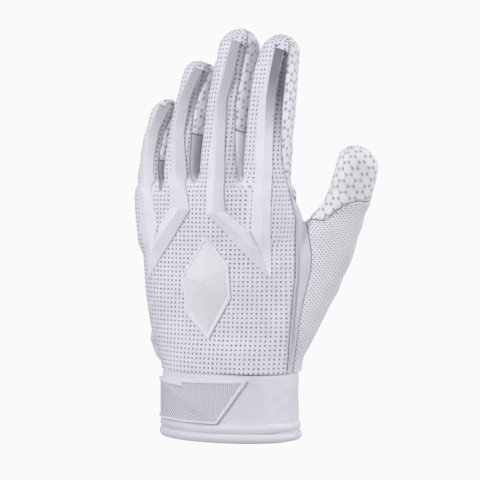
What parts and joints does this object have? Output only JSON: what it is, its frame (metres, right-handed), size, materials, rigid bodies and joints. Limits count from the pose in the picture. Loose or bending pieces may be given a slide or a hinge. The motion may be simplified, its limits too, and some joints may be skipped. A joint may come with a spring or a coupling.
{
  "type": "football glove",
  "caption": "Padded football glove for the left hand with raised back ridges, grip palm, mesh thumb and strapped stretch cuff.",
  "frame": {"origin": "centre of the wrist opening, level with the lower edge of the hem", "axes": "+Z from the wrist opening to the fingertips, -Y out of the back of the hand, +X toward the thumb"},
  "size_m": [0.1417, 0.0608, 0.2335],
  "materials": {
    "back_cloth": "matt white perforated stretch cloth",
    "grip_cloth": "matt white cloth with a raised tacky silicone print",
    "gusset_cloth": "smooth pale grey stretch knit",
    "mesh_cloth": "white open mesh with fine slanted holes",
    "side_cloth": "smooth pale grey stretch knit with a soft sheen",
    "piping_cord": "white covered cord",
    "moulded_rubber": "satin white moulded soft rubber",
    "moulded_pad": "satin white moulded soft rubber",
    "tab_cloth": "pale grey folded cloth",
    "cuff_cloth": "satin white elastic cloth",
    "hem_cloth": "satin white rolled elastic",
    "strap_rubber": "satin white moulded strap with fine ribs"
  },
  "bodies": {
    "root": {"back_panel": "back_cloth", "palm_panel": "grip_cloth", "gusset_pinky_ring": "gusset_cloth", "gusset_ring_middle": "gusset_cloth", "gusset_middle_index": "gusset_cloth", "thumb_mesh_panel": "mesh_cloth", "thumb_grip_cap": "grip_cloth", "side_gusset": "side_cloth", "side_piping": "piping_cord", "ridge_middle_index": "moulded_rubber", "ridge_pinky_ring": "moulded_rubber", "back_pad": "moulded_pad", "heel_tab": "tab_cloth", "cuff_band": "cuff_cloth", "cuff_hem_upper": "hem_cloth", "cuff_hem_lower": "hem_cloth", "wrist_strap": "strap_rubber"}
  },
  "joints": []
}
